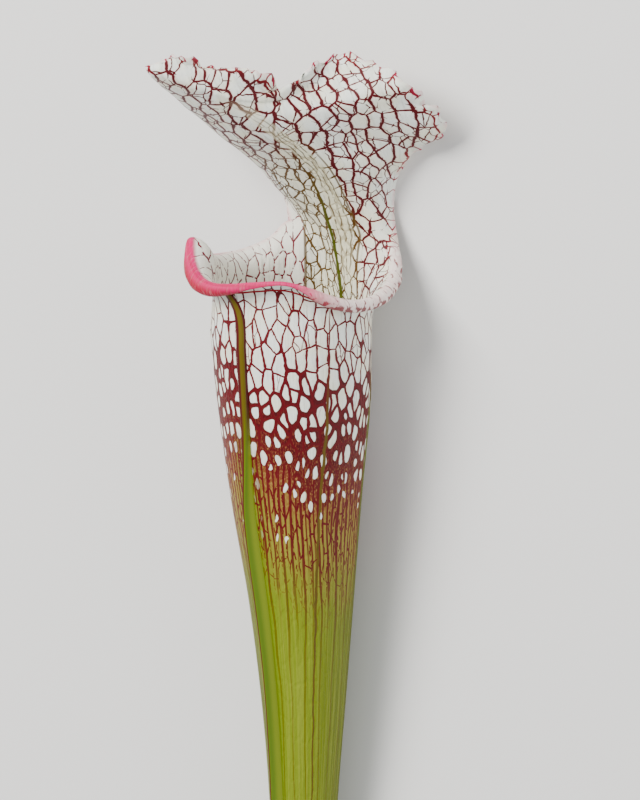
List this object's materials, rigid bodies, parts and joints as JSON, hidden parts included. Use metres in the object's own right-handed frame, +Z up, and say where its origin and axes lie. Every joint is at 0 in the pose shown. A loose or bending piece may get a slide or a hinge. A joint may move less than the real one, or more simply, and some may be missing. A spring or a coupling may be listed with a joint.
{
  "type": "pitcher plant leaf",
  "caption": "Cut pitcher leaf of a white-topped pitcher plant: slender trumpet tube with a rolled rim, open mouth, narrow neck and wavy hood, lying on a surface.",
  "frame": {"origin": "centre of the part's box, at the level of the surface that the leaf lies on", "axes": "+Z up, +Y along the leaf from the cut base to the hood, +X across it"},
  "size_m": [0.0826, 0.4744, 0.0624],
  "materials": {
    "leaf": "satin"
  },
  "bodies": {
    "root": {"pitcher_leaf": "leaf"}
  },
  "joints": []
}
